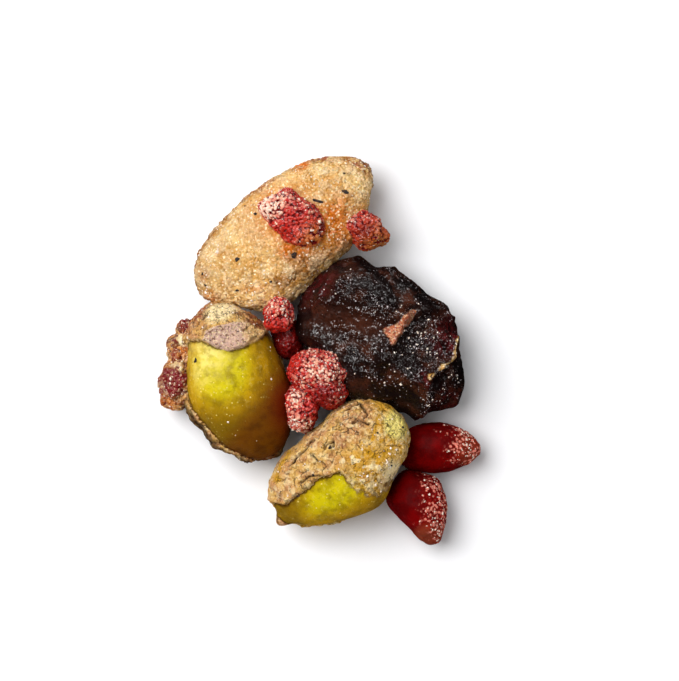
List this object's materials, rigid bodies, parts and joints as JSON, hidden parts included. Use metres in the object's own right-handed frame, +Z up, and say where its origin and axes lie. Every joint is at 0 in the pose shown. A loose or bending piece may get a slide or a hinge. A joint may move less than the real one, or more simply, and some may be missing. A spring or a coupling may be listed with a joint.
{
  "type": "seasoned nut and dried fruit mix",
  "caption": "Small heap of snack mix as it lies: glazed pistachio kernels, an almond, a dark dried cherry, red fruit drops and sugared fruit crumbs.",
  "frame": {"origin": "centre of the heap's bounding box, on the table", "axes": "+Z up from the table; +X to the right and +Y away from the reader as the picture looks down on the heap, so the heap is longest along Y and lowest along Z"},
  "size_m": [0.0372, 0.0448, 0.0114],
  "materials": {
    "pistachio": "pistachio kernel, yellow-green and slightly glossy where bare, under a tan granular seasoning crust",
    "almond": "blanched almond in a beige granular glaze with small glossy grains and pepper specks",
    "cherry": "near-black dried cherry skin, glossy and wrinkled, with fine pale sugar specks and a rust-coloured torn flake",
    "fruit_drop": "deep red, slightly translucent dried fruit with a frost of sugar at the pointed end",
    "fruit_crumb": "red dried fruit crumbs coated in pink and white sugar granules",
    "seasoning": "clumped seasoning of tan, pink and dark red granules"
  },
  "bodies": {
    "root": {"pistachio_right": "pistachio", "pistachio_left": "pistachio", "almond": "almond", "dried_cherry": "cherry", "fruit_drop_upper": "fruit_drop", "fruit_drop_lower": "fruit_drop", "fruit_crumb_middle": "fruit_crumb", "fruit_crumb_front": "fruit_crumb", "fruit_crumb_top": "fruit_crumb", "fruit_crumb_shaded": "fruit_crumb", "fruit_crumb_on_almond": "fruit_crumb", "fruit_crumb_at_edge": "fruit_crumb", "seasoning_clump": "seasoning"}
  },
  "joints": []
}
